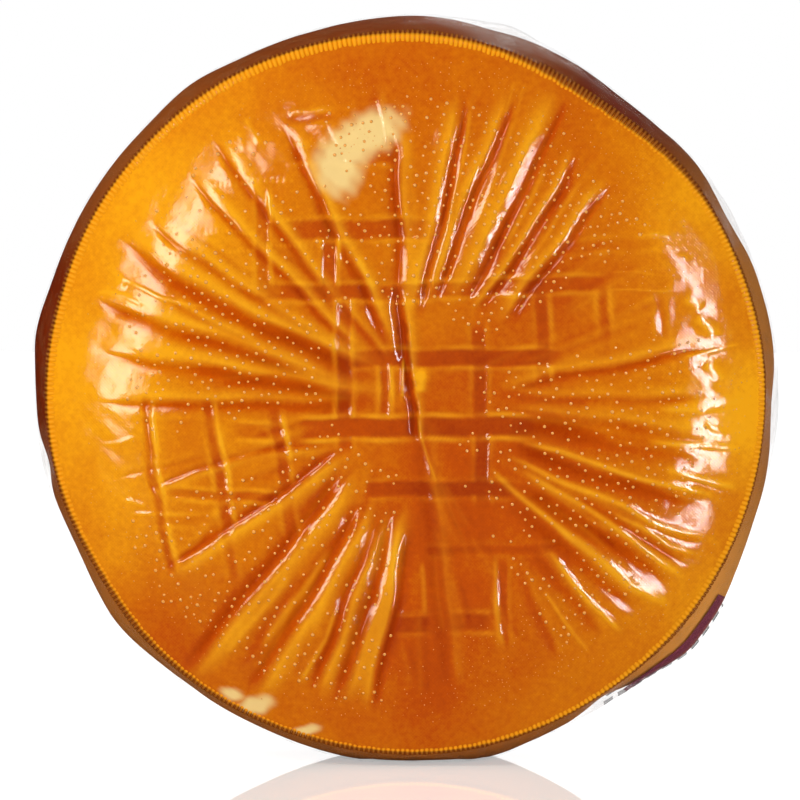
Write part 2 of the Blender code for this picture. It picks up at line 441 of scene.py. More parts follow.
@dataclass(frozen=True)
class FaceRelief:
    """Everything pressed into one face, with the plain form under it.

    Attributes:
        creases: Folds of the cloth.
        bands: Bars of the rack.
        pale: Spots that smoking missed: u, v, half-widths along and across, lean in degrees.
        smoke: Where the rind is drawn darker (above 0) or lighter, partly from smoking and partly as painted
            shade, as in the slit: u, v, radius, amount.
        crest_half: Half the wheel's thickness over the swollen ring of the face.
        crest_at: That ring's radius as a share of the edge radius.
        dish_depth: How far the middle is sunk.
        shoulder_power: How squarely the shoulder falls to the edge.
        fine_count: How many fine chance creases lie between the folds.
        seed: Seed of those.
    """

    creases: tuple[Crease, ...]
    bands: tuple[Band, ...]
    pale: tuple[tuple[float, ...], ...] = ()
    smoke: tuple[tuple[float, ...], ...] = ()
    crest_half: float = 38.0
    crest_at: float = 0.60
    dish_depth: float = 3.2
    shoulder_power: float = 1.9
    fine_count: int = 90
    seed: int = SEED

    def plain_rise(self, share: np.ndarray, edge_half: float) -> np.ndarray:
        """Height of the plain face above its edge: a dish, a swollen ring, a falling shoulder."""
        shoulder = np.clip((share - self.crest_at) / (1.0 - self.crest_at), 0.0, 1.0)
        dish = np.clip(1.0 - (share / self.crest_at) ** 2, 0.0, 1.0) ** 2
        rise = (self.crest_half - edge_half) * (1.0 - shoulder**self.shoulder_power)
        return rise - self.dish_depth * dish

    def fine_creases(self) -> list[Crease]:
        """Short, shallow chance creases that run roughly towards the gather point."""
        draw = np.random.default_rng(self.seed)
        rows = []
        for _ in range(self.fine_count):
            at, outer = draw.uniform(0.0, 360.0), draw.uniform(60.0, 126.0)
            length, lean = draw.uniform(14.0, 40.0), draw.uniform(-3.0, 3.0)
            depth, width = draw.uniform(0.12, 0.34), draw.uniform(0.7, 1.3)
            inner = max(30.0, outer - length)
            rows.append(radial(at, at + lean, outer, inner, depth, width, 0.14, 1.2))
        return rows

    def relief(self, u: np.ndarray, v: np.ndarray) -> dict[str, np.ndarray]:
        """Height and tones at points of the face.

        The folds' heights are added up and held within HELD by a hyperbolic tangent, the rack's
        channels are added, and gentle lumps finish it.

        Args:
            u, v: Where on the face, in millimetres.

        Returns:
            `height` in millimetres, `crease` (1 in the bottoms of folds), `crest` (1 on lips and
            welts), `band` (1 in the rack's channels), `pale` (1 where smoking missed) and
            `smoke` (how much darker the rind is drawn: partly smoking, partly painted shade).
        """
        height, crease, crest, band, pale, smoke = (np.zeros_like(u) for _ in range(6))
        for number, fold in enumerate([*self.creases, *self.fine_creases()]):
            near = fold.near(u, v)
            rise, valley, lip = fold.relief(u[near], v[near], 1.3 * number)
            height[near] += rise
            crease[near] += valley
            crest[near] += lip
        height = HELD * np.tanh(height / HELD)
        for bar in self.bands:
            rise, tone, welt = bar.relief(u, v)
            height += rise * (1.0 - 0.6 * band)
            crest += welt * (1.0 - band)
            band = np.maximum(band, tone)
        away = smooth(138.0, 120.0, np.hypot(u, v))
        height += (0.3 * ripple(u, v, 47.0, 0.7) + 0.07 * ripple(u, v, 13.0, 2.1)) * away
        for at_u, at_v, along, across, lean in self.pale:
            turn = np.radians(lean)
            du, dv = u - at_u, v - at_v
            near = ((du * np.cos(turn) + dv * np.sin(turn)) / along) ** 2
            near = near + ((dv * np.cos(turn) - du * np.sin(turn)) / across) ** 2
            pale = np.maximum(pale, smooth(1.5, 0.55, np.sqrt(near) + 0.15 * ripple(u, v, 9.0, 0.4)))
        # patches drawn darker or lighter: partly smoking, partly painted shade
        for at_u, at_v, radius, amount in self.smoke:
            smoke += amount * bell(np.hypot(u - at_u, v - at_v), radius)
        return dict(zip(TONES, (height, crease, crest, band, pale, smoke)))


def fold(
    depth: float, width: float, lip: float, lip_width: float, side: int, *path: float, soft: float = 1.5
) -> Crease:
    """A fold from its shape and a flat row of path coordinates u, v, u, v, and so on."""
    return Crease(tuple(zip(path[::2], path[1::2])), depth, width, lip, lip_width, side, soft)


def welt(height: float, width: float, *path: float) -> Crease:
    """A raised line with no valley, from its shape and a flat row of path coordinates."""
    return Crease(tuple(zip(path[::2], path[1::2])), 0.0, 0.0, height, width, 1)


LIT_FOLDS = (
    # upper right, clockwise from the top: broad lips, and short steep slopes beyond the valleys;
    # how much each lip flattens outwards goes in front of its shape
    (0.8, 1.6, 1.3, 2.3, 2.1, 1, 24.5, 119, 21, 100, 18.5, 86, 14, 66, 9.5, 48, 6, 34),
    (0.65, 1.5, 1.4, 2.0, 1.8, 1, 44, 118, 37, 101, 31, 88, 26, 76, 21, 63, 17, 50, 13, 38),
    (0.45, 1.8, 1.5, 3.5, 3.0, 1, 64, 119, 58, 104, 50, 88.5, 44, 76, 38, 63, 31, 50, 25, 39),
    (0.55, 1.4, 1.5, 1.65, 1.3, 1, 69, 97, 62, 82, 57, 74, 51, 64, 45, 55.5, 37.5, 44.5, 30, 34),
    (0.55, 1.3, 1.5, 2.15, 1.7, 1, 82, 84, 73, 72.5, 66, 62.5, 58.5, 53.5, 49, 41.5, 42, 30.5),
)
FRONT_FOLDS = tuple(replace(fold(*shape), soft=0.7, taper=taper) for taper, *shape in LIT_FOLDS) + (
    # the rest of the upper right
    fold(1.3, 1.6, 0.7, 1.8, -1, -6, 108, -4.3, 99.6, -3.7, 75.6, -2.5, 60, -2.6, 42),
    welt(0.5, 1.2, 27, 117, 21.5, 88, 16.5, 64),
    welt(0.4, 1.3, 44, 112, 36, 88, 28, 68),
    welt(0.5, 1.6, 56, 93, 48, 75, 40, 60),
    welt(0.4, 1.5, 70, 86, 58, 68, 48, 52),
    welt(0.3, 0.8, 43, 126, 40, 112), welt(0.3, 0.8, 48, 125, 44, 113),
    # right
    fold(1.0, 1.2, 0.7, 1.8, 1, 122, 19.5, 110.5, 18, 91.4, 13.6, 81, 10.8, 61, 8.5, 41, 1.3),
    welt(0.7, 0.7, 133, 21.5, 121, 18.5, 112, 16),
    fold(0.6, 1.2, 0.4, 1.6, 1, 118, -1, 86, -1.3, 61, -1.5, 40, 0),
    welt(0.8, 1.5, 135, -1, 119, -5.5, 102, -4),
    fold(0.9, 2.6, 0.5, 2.0, 1, 122, -17.5, 101.5, -15, 81, -11.5, 45, -9),
    welt(0.9, 1.5, 135, -21.5, 116, -18.7, 98, -17.5),
    fold(0.9, 3.0, 0.3, 2.0, 1, 122, -26, 91, -20.5, 68, -15.5, 42, -12),
    welt(0.9, 1.7, 133, -37, 117, -31.8, 104, -28.5),
    welt(1.1, 1.5, 124, -39.5, 110, -36.3, 101, -34, 86, -29.6, 72, -25, 61, -20.7, 46, -17.5),
    fold(1.3, 2.4, 0.3, 2.0, 1, 116, -43, 100, -38.5, 80, -33, 60, -26, 42, -19),
    # lower right
    welt(1.3, 1.8, 122, -57, 110, -54, 99, -49.6, 87, -43, 76, -38.5, 58, -31.5, 42, -24),
    welt(0.8, 1.3, 118, -63, 106, -60, 95, -52, 84, -46),
    fold(0.9, 1.8, 0.2, 2.0, 1, 112, -67, 98, -58, 86, -50.5, 68, -40),
    welt(1.2, 1.8, 112, -73, 103, -66.5, 90, -55.5, 80, -49, 66, -40, 48, -29.5),
    fold(1.3, 2.8, 0.2, 2.0, 1, 106, -75, 92, -65, 76, -55, 60, -45, 46, -35),
    welt(1.7, 2.9, 106, -84, 92, -76, 80.7, -67, 70, -58.5, 62, -52),
    welt(1.0, 1.8, 68, -57, 53, -45.3, 44.7, -38, 35, -29),
    fold(1.0, 2.6, 0.2, 2.0, 1, 92, -84, 78, -74, 60, -57, 42, -42),
    welt(1.1, 1.6, 87, -95, 74.7, -82.5, 68.7, -75.3, 58, -62),
    fold(0.8, 2.0, 0.2, 1.6, 1, 79, -96, 64, -78, 50, -60),
    welt(0.6, 1.2, 74, -103, 66, -92, 56, -78), fold(0.5, 1.5, 0.2, 1.4, 1, 61, -106, 53, -88, 46, -70),
    welt(0.4, 1.3, 40, -102, 37, -82, 36, -66),
    # lower left
    fold(1.7, 1.6, 1.1, 1.7, -1, -12.5, -126, -9.6, -111, -5.2, -94.5, -1.6, -79, 0.2, -64, 1.2, -52),
    fold(2.1, 1.9, 1.6, 2.4, 1, -28, -122, -21.5, -101, -14, -80, -9.5, -61, -5, -44),
    fold(1.7, 1.7, 1.3, 2.0, 1, -38, -119, -30, -99, -24.5, -80, -18, -66, -11, -45),
    fold(2.2, 2.3, 1.7, 2.7, 1, -64, -119, -52, -100, -41.2, -83.3, -32, -68, -23.2, -52, -19, -41),
    welt(0.8, 1.5, -42, -116, -32, -97, -27, -84), welt(0.7, 2.2, -58, -101, -42, -79, -30, -61),
    fold(
        2.2, 2.2, 1.7, 2.7, 1,
        -90, -111, -75, -92, -60, -73, -48.4, -60.5, -38, -47, -29.2, -35.3, -25, -28,
    ),
    welt(0.6, 2.2, -72, -104, -58, -86, -46, -72),
    fold(0.6, 2.0, 0.3, 2.0, 1, -66, -110, -52, -88, -40, -70),
    fold(1.6, 1.2, 1.2, 1.9, 1, -95, -68.5, -78, -56.5, -62, -46.5, -50, -38, -26, -20.5),
    fold(0.8, 0.9, 0.5, 1.2, 1, -103, -37, -90.8, -32.2, -84.8, -29.2, -70.4, -24.4, -58.4, -21.4, -30, -18),
    # left
    fold(1.1, 1.7, 0.5, 1.8, -1, -122, -2, -95, -3.6, -60, -3.6, -20, -4.6),
    fold(1.3, 2.3, 0.9, 2.4, -1, -121, 17, -101, 13, -77, 9.5, -53, 4.7, -29, 0, -12, -2.5),
    fold(1.7, 2.3, 1.1, 2.4, -1, -123, 38.5, -113, 33.5, -97.7, 27.5, -77.3, 21.5, -53.3, 13, -31.7, 3.5),
    fold(0.7, 1.0, 0.5, 1.2, -1, -94, 38, -75, 27.5, -60, 20),
    fold(2.0, 2.8, 1.3, 2.6, -1, -114, 62.5, -98, 50, -80, 39, -60, 28, -40, 19.5, -26, 13.5, -15, 8),
    welt(0.8, 0.9, -119, 51.5, -110, 46, -98, 39.5, -88, 37.5, -80, 37),
    welt(0.6, 0.8, -124, 42, -113, 41, -104, 37), welt(1.0, 1.6, -115, 47, -112, 45),
    fold(1.0, 1.4, 0.7, 1.6, -1, -101, 69.5, -91.6, 61, -70, 45.5, -56, 37),
    fold(0.8, 1.4, 0.5, 1.5, -1, -66, 43, -52, 33.5, -36, 24),
    # upper left
    fold(1.2, 1.1, 0.9, 1.5, -1, -85, 88, -77, 76.8, -60.5, 60, -42.5, 42, -34, 32.3, -27, 25, -20, 18),
    fold(1.2, 1.2, 1.0, 1.6, -1, -76, 102, -65.3, 86.4, -54.5, 70.8, -45, 60, -37.6, 48, -29.5, 37),
    fold(
        1.6, 1.3, 1.3, 1.7, -1,
        -48, 107, -41.3, 92, -34, 79, -28.7, 63.5, -22, 54, -17.3, 46.7, -13.7, 34.7, -7.7, 20,
    ),
    fold(0.9, 1.0, 0.5, 1.2, -1, -27, 39, -17.3, 26.3, -9, 15), welt(0.9, 1.7, -19.5, 56, -16, 50, -12, 43),
    welt(0.5, 1.0, -64, 112, -58, 101), welt(0.4, 1.6, -67, 106, -64, 99),
    # the pinch in the middle, and the trough that runs down from it
    fold(0.7, 2.6, 0.3, 2.0, 1, 17.5, -118, 13.5, -86, 11, -62, 8.5, -40, 6.5, -24, 4.2, -10, soft=1.2),
    welt(0.7, 1.0, 12, -34, 9.0, -24, 6.5, -14, 5.5, -7), welt(0.4, 1.6, 8.5, -88, 6.5, -66),
    fold(3.8, 1.5, 1.6, 1.3, -1, -3.2, 44, -2.3, 34.7, -1.0, 27.5, 0.1, 18, 0.9, 11, soft=1.9),
    fold(3.4, 1.5, 0.9, 0.9, -1, 1.0, 15, 1.5, 10, 2.3, 3.5, 3.5, -5, 3.8, -17, soft=1.0),
    welt(1.3, 0.8, -1.0, 15.5, -1.0, 8, -0.6, -1), welt(0.9, 2.4, 6.4, 10.5, 6.8, 6, 6.4, 2),
)
FRONT_BANDS = (
    Band((-45, 67), (9, 67.5), 3.6, 0.5), Band((-56, 42), (9, 42.2), 2.7, 0.45),
    Band((8, 43), (80, 46), 2.6, 0.25), Band((-20, 15.5), (60, 16), 3.0, 0.5),
    Band((-40, -12.6), (50, -11.5), 3.6, 0.6, 0.4, 0.4),
    Band((-67, -13.5), (-54, -13.5), 2.6, 0.35), Band((-14, -36.8), (43, -36.8), 2.8, 0.5, 0.1, 0.1),
    Band((10, -61.5), (60, -60.5), 1.4, 0.3, 0.05, 0.05), Band((-1, -91.2), (9, -91.2), 3.0, 0.4),
    Band((20, -90.5), (34, -90.2), 3.2, 0.35, 0.25, 0.3), Band((-46, 111), (-30, 112), 1.6, 0.35, 0.3, 0.1),
    Band((-44, 97), (-5, 96), 2.6, 0.3), Band((-93, -38.5), (-50, -40.5), 1.5, 0.35, 0.2, 0.2),
    Band((-99, -50), (-78, -49), 1.5, 0.15, 0.2, 0.1), Band((60, 60), (100, 62), 1.8, 0.12, 0.1, 0.1),
    Band((-103.5, -2), (-102, -26), 1.5, 0.6, 0.7, 0.0), Band((-102, -26), (-94, -70), 1.5, 0.6, 0.6, 0.1),
    Band((-79, -3), (-76, -20), 1.7, 0.5, 0.7, 0.1), Band((-76, -20), (-71, -50), 2.0, 0.6, 0.7, 0.3),
    Band((-71, -54), (-69, -72), 1.6, 0.35, 0.1, 0.1), Band((-52, -7), (-48, -33), 2.1, 0.6, 0.6, 0.1),
    Band((-47, -40), (-45.5, -53), 2.1, 0.3, 0.2, 0.2), Band((-30.3, 64), (-29.8, 39), 2.5, 0.55, 0.6, 0.1),
    Band((-24.5, 40), (-24, -20), 2.5, 0.5, 0.3, 0.3), Band((-8, 17), (-8.2, -7), 1.5, 0.4, 0.5, 0.3),
    Band((29.5, 28), (31.3, -41), 2.4, 0.5, 0.15, 0.15), Band((54.5, 43), (55.5, 8), 2.2, 0.35, 0.3, 0.1),
    Band((79, 44), (80, 25), 1.7, 0.35, 0.3, 0.2), Band((-57, 82), (-56.5, 40), 2.1, 0.35, 0.3, 0.1),
    Band((39, -66), (40, -99), 1.6, 0.25, 0.1, 0.3), Band((101, 42), (103, 26), 1.6, 0.15, 0.1, 0.2),
)
FRONT_WELTS = (
    welt(0.35, 0.55, -78, 85, -58, 86.3, -42, 86.3), welt(0.35, 0.55, -80, 64.5, -70, 66.5, -60, 65),
    welt(0.35, 0.55, -73, 58.4, -60, 59), welt(0.35, 0.6, -58, 61, -31, 60.8),
    welt(0.35, 0.55, -56, 70.5, -40, 71), welt(0.3, 0.6, 82, 50.5, 92, 51, 100, 49),
    welt(0.45, 0.6, 81, 43, 92, 43.3, 107, 43), welt(0.3, 0.6, 92, 64.5, 100, 66, 106, 64),
    welt(0.45, 0.8, 110, 57, 113, 55), welt(0.5, 0.7, -46, 113, -41, 114.5),
    welt(0.45, 0.7, -121, -19, -114, -18, -108, -16), welt(0.5, 1.0, -112, -42, -104, -44),
    welt(0.4, 0.8, -110, -47, -100, -47.5), welt(0.7, 2.6, 112, 40, 119, 36),
    welt(0.8, 2.8, 116, 32, 125, 25), welt(0.8, 2.4, 121, 14, 127, 7),
    welt(0.5, 1.3, 120, -11, 128, -14), fold(1.0, 0.5, 0.3, 0.8, -1, -103.5, -29, -102.5, -34, -101, -40),
)
FRONT = FaceRelief(
    creases=FRONT_FOLDS + FRONT_WELTS,
    bands=FRONT_BANDS,
    pale=(
        (-26.5, 92, 8.5, 10.5, 10), (-22, 100, 11, 8, 35), (-14, 105.5, 13, 7.5, 24),
        (-70, -121, 4.5, 2.2, -20), (-60.5, -125.5, 7, 3.6, 16), (-40.5, -136, 6, 2, 16),
    ),
    smoke=(
        # the slit, drawn darker as painted shade in its recess, and a lighter patch to its right
        (-1, 27, 2, 0.7), (-0.2, 20, 2.2, 0.9), (0.6, 13, 2.2, 0.9), (2, 5, 1.8, 0.6), (3.2, -4, 1.6, 0.5),
        (3.7, -13, 1.8, 0.6), (6.4, 9, 3, -0.36), (5.6, 3.5, 2.2, -0.24),
        # broad patches: darker in the middle, at the top and towards the bottom, lighter at the left and
        # right margins
        (20, -60, 44, 0.1), (45, -25, 42, 0.12), (0, 0, 48, 0.06), (14, -112, 40, 0.16),
        (-45, 20, 34, 0.04), (-40, -80, 36, 0.02), (60, 50, 36, 0.1), (-128, 5, 42, -0.24),
        (-105, 85, 44, -0.22), (138, -5, 34, -0.26), (118, 80, 30, -0.2), (112, -82, 26, -0.12),
        (-122, -55, 30, -0.12), (0, 132, 40, 0.1), (-10, -140, 24, 0.02), (45, -135, 26, -0.08),
        (-95, -98, 28, 0.14), (-45, 125, 26, -0.04), (70, 120, 26, 0.06),
    ),
)


def back_fold(index: int, count: int) -> Crease:
    """One of `count` plain folds spread round the back face, with uneven bearing, length and depth."""
    apart = 360.0 / count
    at = (index + 0.5) * apart + 7.0 * np.sin(1.9 * index)
    reach, depth = 108.0 + 16.0 * np.sin(2.3 * index), 0.8 + 0.5 * np.sin(1.1 * index) ** 2
    return radial(at, index * apart + 17.0, reach, 40.0, depth, 2.4, 0.7, 2.0, 1)


BACK_BARS = (-66.0, -22.0, 22.0, 66.0)
BACK_REACH = 112.0
BACK = FaceRelief(
    creases=tuple(back_fold(index, 13) for index in range(13)),
    bands=tuple(Band((-BACK_REACH, v), (BACK_REACH, v)) for v in BACK_BARS)
    + tuple(Band((u, -BACK_REACH), (u, BACK_REACH)) for u in BACK_BARS),
    fine_count=40,
    seed=SEED + 1,
)


# ---- the cheese ---------------------------------------------------------------------------------


Row = tuple[np.ndarray, dict[str, np.ndarray], np.ndarray]
Sectors = tuple[tuple[float, ...], ...]


@dataclass
class Wheel:
    """The cheese: rind, edge ribs, pips and grains, all pressed from the same curd.

    Attributes:
        outline: Its form.
        front, back: What is pressed into its faces.
        outer_spokes, middle_spokes, centre_spokes: Points per ring in each zone of a face.
        side_rings: Rings of points over the side.
        rib_pitch, rib_reach, rib_height: The edge ribs' spacing, half-length and height.
        smoked_ribs: Where the ribs are drawn darker, as painted shade: bearing, amount, half-width in
            degrees.
        rim_smoke: How dark the side is drawn, from 0 (tan) to 1 (red-brown), partly from smoking
            and partly as painted shade, and
        rim_patches: where it is more or less, also painted shade: bearing, amount, half-width in degrees.
    """

    outline: Outline
    front: FaceRelief = FRONT
    back: FaceRelief = BACK
    outer_spokes: int = 1120
    middle_spokes: int = 560
    centre_spokes: int = 280
    side_rings: int = 16
    rib_pitch: float = 1.95
    rib_reach: float = 2.9
    rib_height: float = 0.34
    # ribs drawn darker at these bearings: painted shade
    smoked_ribs: Sectors = ((36, 0.34, 22), (200, 0.3, 40), (240, 0.15, 20))
    # how dark the side is drawn, partly smoking and partly painted shade, and where it is more or less by
    # bearing
    rim_smoke: float = 0.62
    rim_patches: Sectors = (
        (277, 0.35, 22), (330, 0.12, 30), (5, 0.16, 30), (38, 0.25, 14), (75, -0.15, 18), (126, -0.45, 20),
        (225, -0.1, 22),
    )

    def face_point(
        self, relief: FaceRelief, facing: int, bearing: np.ndarray, share: np.ndarray
    ) -> tuple[np.ndarray, dict[str, np.ndarray]]:
        """Points of a face and their tones.

        Args:
            relief: What is pressed into it.
            facing: -1 for the front, 1 for the back.
            bearing: Bearings of the points.
            share: Their radii as shares of the edge radius.

        Returns:
            Points as (u, y, v) rows, and the relief's arrays.
        """
        radius = share * self.outline.rind(bearing, 1.0)
        turn = np.radians(bearing)
        marks = relief.relief(radius * np.sin(turn), radius * np.cos(turn))
        marks["height"] = marks["height"] * smooth(1.0, 0.95, share)
        rise = relief.plain_rise(share, self.outline.edge_half) + marks["height"]
        return ring(bearing, radius, facing * (self.outline.edge_half + rise)), marks

    def side_point(self, bearing: np.ndarray, across: float) -> np.ndarray:
        """Points of the side: the barrel, with the net's soft unevenness."""
        uneven = 0.25 * ripple(bearing * 2.6, across * 33.0 + 0.0 * bearing, 31.0, 1.1)
        radius = self.outline.rind(bearing, across) + np.minimum(uneven, 0.0) * (1.0 - across**4)
        return ring(bearing, radius, across * self.outline.edge_half)

    def face_shares(self, spacing: tuple[float, float, float]) -> list[tuple[int, float]]:
        """Spoke count and radius share of each ring of a face, from its edge to its middle.

        Args:
            spacing: Distance between rings in the outer, middle and centre zone, in millimetres.
        """
        zones = (
            (self.outer_spokes, 0.985, 0.49), (self.middle_spokes, 0.48, 0.245),
            (self.centre_spokes, 0.238, 0.01),
        )
        rows = []
        for (count, high, low), step in zip(zones, spacing):
            rings = int((high - low) * self.outline.edge_radius / step) + 1
            rows += [(count, share) for share in np.linspace(high, low, rings)]
        return rows

    def face_rows(self, facing: int, coarser: int, spacing: tuple[float, float, float]) -> list[Row]:
        """Rings of a face with their tones, from its edge to its middle.

        Args:
            facing: -1 for the front, 1 for the back.
            coarser: How many times fewer points a ring has than the finest face.
            spacing: Distance between rings in the outer, middle and centre zone, in millimetres.
        """
        relief = self.front if facing < 0 else self.back
        rows = []
        for count, share in [(self.outer_spokes, 1.0), *self.face_shares(spacing)]:
            spokes = count // coarser
            points, marks = self.face_point(relief, facing, bearings(spokes), np.full(spokes, share))
            rows.append((points, marks, np.zeros(spokes)))
        return rows

    def bare_row(self, bearing: np.ndarray, points: np.ndarray) -> Row:
        """A ring off the faces: no relief, all rim, and as dark as the side is drawn there, partly from
        smoking and partly as painted shade.
        """
        nothing = np.zeros(len(bearing))
        marks = {name: nothing for name in TONES[:-1]}
        # the side's darkness by bearing: partly smoking, partly painted shade on the side
        marks["smoke"] = self.rim_smoke + Outline.lobes(bearing, self.rim_patches)
        return points, marks, nothing + 1.0

    @staticmethod
    def closed(name: str, rows: list[Row]) -> Piece:
        """Closes rows of (ring, tones, rim) into a piece, with a pole at either end."""
        points, triangles = skin([row[0] for row in rows], poles=True)
        attributes = {}
        for tone in (*rows[0][1], "rim"):
            parts = [row[2] if tone == "rim" else row[1][tone] for row in rows]
            parts += [parts[0].mean()[None], parts[-1].mean()[None]]
            attributes[tone] = np.concatenate(parts)
        return Piece(name, points, triangles, "smoked_rind", attributes)

    def plug(self, share: float, half: float) -> Row:
        """A hidden flat ring inside the wheel, `half` mm in front of its middle plane."""
        bearing = bearings(self.centre_spokes)
        radius = share * self.outline.rind(bearing, 1.0)
        return self.bare_row(bearing, ring(bearing, radius, np.full(len(bearing), -half)))

    def front_rind(self) -> Piece:
        """The pleated front face as one closed shell: its skin, and a flat underside in the wheel."""
        face = self.face_rows(-1, 1, (1.25, 1.0, 1.1))
        return self.closed("front_rind", [*face[::-1], self.plug(0.985, 25.5), self.plug(0.97, 22.0)])

    def body_rind(self) -> Piece:
        """The rest of the rind, closed: a hidden plug behind the front face, the side, and the back."""
        bearing = bearings(self.middle_spokes)
        side = [
            self.bare_row(bearing, self.side_point(bearing, float(across)))
            for across in np.sin(np.linspace(-0.5, 0.5, self.side_rings) * np.pi)
        ]
        back = self.face_rows(1, 2, (3.5, 3.0, 3.0))
        return self.closed("smoked_rind", [self.plug(0.96, 24.0), *side, *back[1:]])

    def edge_ribs(self, facing: int, name: str) -> Piece:
        """The band of short ribs that the mould's net left round an edge.

        Along the edge the ribs are a rounded wave of one pitch; across it each is an arch that
        sinks into the rind at both ends. A flat return under the surface closes the band.

        Args:
            facing: -1 for the front edge, 1 for the back edge.
            name: The piece's name.
        """
        count = int(2.0 * np.pi * self.outline.edge_radius / self.rib_pitch)
        bearing = bearings(6 * count)
        wave = np.tile([0.0, 0.3, 0.8, 1.0, 0.8, 0.3], count)
        reach = self.rib_reach * (1.0 + 0.3 * np.cos(np.radians(bearing - 345.0)))
        reach = reach * (1.0 + 0.1 * np.sin(bearing * 1.7) * np.sin(bearing * 0.31))
        rows, crest, outer = [], [], []
        for place in np.linspace(-1.0, 1.0, 9):
            arch = np.sqrt(1.0 - place**2)
            lift = -0.12 + arch * (0.1 + self.rib_height * wave)
            rows.append(self.edge_point(facing, bearing, place * reach, lift))
            # crest lightens rib tops against darker gaps in their finish, and outer turns them to the darker
            # side colour, more at some bearings: painted highlight and shade
            crest.append(wave * arch)
            outer.append(0.5 + 0.5 * place + Outline.lobes(bearing, self.smoked_ribs))
        for place in (0.85, -0.85):
            rows.append(self.edge_point(facing, bearing, place * reach, np.full(len(bearing), -0.9)))
            crest.append(np.zeros(len(bearing)))
            outer.append(np.full(len(bearing), 0.5))
        order = 1 if facing < 0 else -1
        points, triangles = skin(rows[::order], loop=True)
        tones = {"crest": np.concatenate(crest[::order]), "outer": np.concatenate(outer[::order])}
        return Piece(name, points, triangles, "smoked_rind", tones)

    def edge_point(self, facing: int, bearing: np.ndarray, run: np.ndarray, lift: np.ndarray) -> np.ndarray:
        """Points near an edge: run goes from the face (below 0) round the edge to the side (above 0).

        The corner is rounded: the run is carried round by a smooth blend from the face's slope to
        the side's, and lift stands along the blend's normal.
        """
        radius = self.outline.rind(bearing, 1.0)
        inward = np.maximum(-run, 0.0)
        onward = np.maximum(run, 0.0)
        share = 1.0 - inward / radius
        relief = self.front if facing < 0 else self.back
        rise = relief.plain_rise(share, self.outline.edge_half)
        across = 1.0 - onward * 0.87 / self.outline.edge_half
        side_radius = self.outline.rind(bearing, across)
        turn = np.clip(run / 3.2, -1.0, 1.0)
        tilt = np.radians(44.0 + 22.0 * turn)
        out_radius = np.where(run < 0.0, radius - inward, side_radius) + lift * np.sin(tilt)
        out_y = np.where(run < 0.0, self.outline.edge_half + rise, across * self.outline.edge_half)
        return ring(bearing, out_radius, facing * (out_y + lift * np.cos(tilt)))

    def dome_field(self, name: str, at: np.ndarray, size: np.ndarray, sides: int, steps: int) -> Piece:
        """Many small domes that stand on the front face.

        Each is a spherical cap of `steps` rings of `sides` points and a pole, 0.6 of its radius
        high, with its foot sunk in the rind; all are one array, worked out at once.

        Args:
            name: The piece's name.
            at: Centres as (u, v) rows, in millimetres.
            size: Radius of each.
            sides: Points per ring.
            steps: Rings per dome.

        Returns:
            The piece, with a `crest` that is 1 at each dome's top.
        """
        radius = np.hypot(at[:, 0], at[:, 1])
        bearing = np.degrees(np.arctan2(at[:, 0], at[:, 1]))
        base, _ = self.face_point(self.front, -1, bearing, radius / self.outline.rind(bearing, 1.0))
        climb = np.linspace(1.0, 0.0, steps + 1)[1:, None] * np.pi / 2.0
        turn = np.arange(sides) * 2.0 * np.pi / sides
        rings = np.stack(
            [np.cos(climb) * np.sin(turn), np.sin(climb) + 0.0 * turn, np.cos(climb) * np.cos(turn)], axis=2
        )
        template = np.concatenate([[[0.0, 1.0, 0.0]], rings.reshape(-1, 3), [[0.0, -0.5, 0.0]]])
        starts = 1 + np.arange(steps) * sides
        body = [strip(start, sides, start + sides, sides) for start in starts[:-1]]
        foot = strip(starts[-1], sides, len(template) - 1, 1)
        faces = np.concatenate([strip(0, 1, 1, sides), *body, foot])
        scale = size[:, None, None] * np.array([1.0, -0.62, 1.0])
        points = (base[:, None, :] + np.array([0.0, 0.12, 0.0])) + template[None] * scale
        triangles = faces[None] + (np.arange(len(at)) * len(template))[:, None, None]
        # crest makes each dome's top pale and its foot darker in its finish: painted highlight and shade
        crest = np.tile(np.clip(template[:, 1], 0.0, 1.0), len(at))
        return Piece(name, points.reshape(-1, 3), triangles.reshape(-1, 3), "smoked_rind", {"crest": crest})

    @staticmethod
    def fields(u: np.ndarray, v: np.ndarray, sectors: Sectors) -> np.ndarray:
        """How likely a pip stands at (u, v): each sector is bearing, half-angle, inner, outer, share."""
        bearing = np.degrees(np.arctan2(u - GATHER[0], v - GATHER[1]))
        distance = np.hypot(u - GATHER[0], v - GATHER[1])
        likely = np.zeros_like(u)
        for at, half, inner, outer, share in sectors:
            inside = smooth(half + 3.0, half - 2.0, np.abs(turn_between(bearing, at)))
            inside = inside * smooth(inner - 3.0, inner + 3.0, distance)
            inside = inside * smooth(outer + 4.0, outer - 4.0, distance)
            likely = np.maximum(likely, share * inside)
        return likely

    def pip_places(self, pitch: float, jitter: float, sectors: Sectors, seed: int) -> np.ndarray:
        """Places on a lattice of holes `pitch` mm apart, each row shifted by half, jittered and thinned."""
        draw = np.random.default_rng(seed)
        steps = np.arange(-150.0, 150.0, pitch)
        u, v = np.meshgrid(steps, steps * 0.9)
        u = u + (np.arange(len(steps))[:, None] % 2) * pitch / 2.0
        lean = np.radians(12.0)
        u, v = u * np.cos(lean) - v * np.sin(lean), u * np.sin(lean) + v * np.cos(lean)
        u, v = (axis.ravel() + draw.uniform(-jitter, jitter, axis.size) for axis in (u, v))
        patchy = 0.7 + 0.5 * ripple(u, v, 21.0, 0.9)
        keep = draw.uniform(0.0, 1.0, u.size) < self.fields(u, v, sectors) * patchy
        return np.stack([u[keep], v[keep]], axis=1)

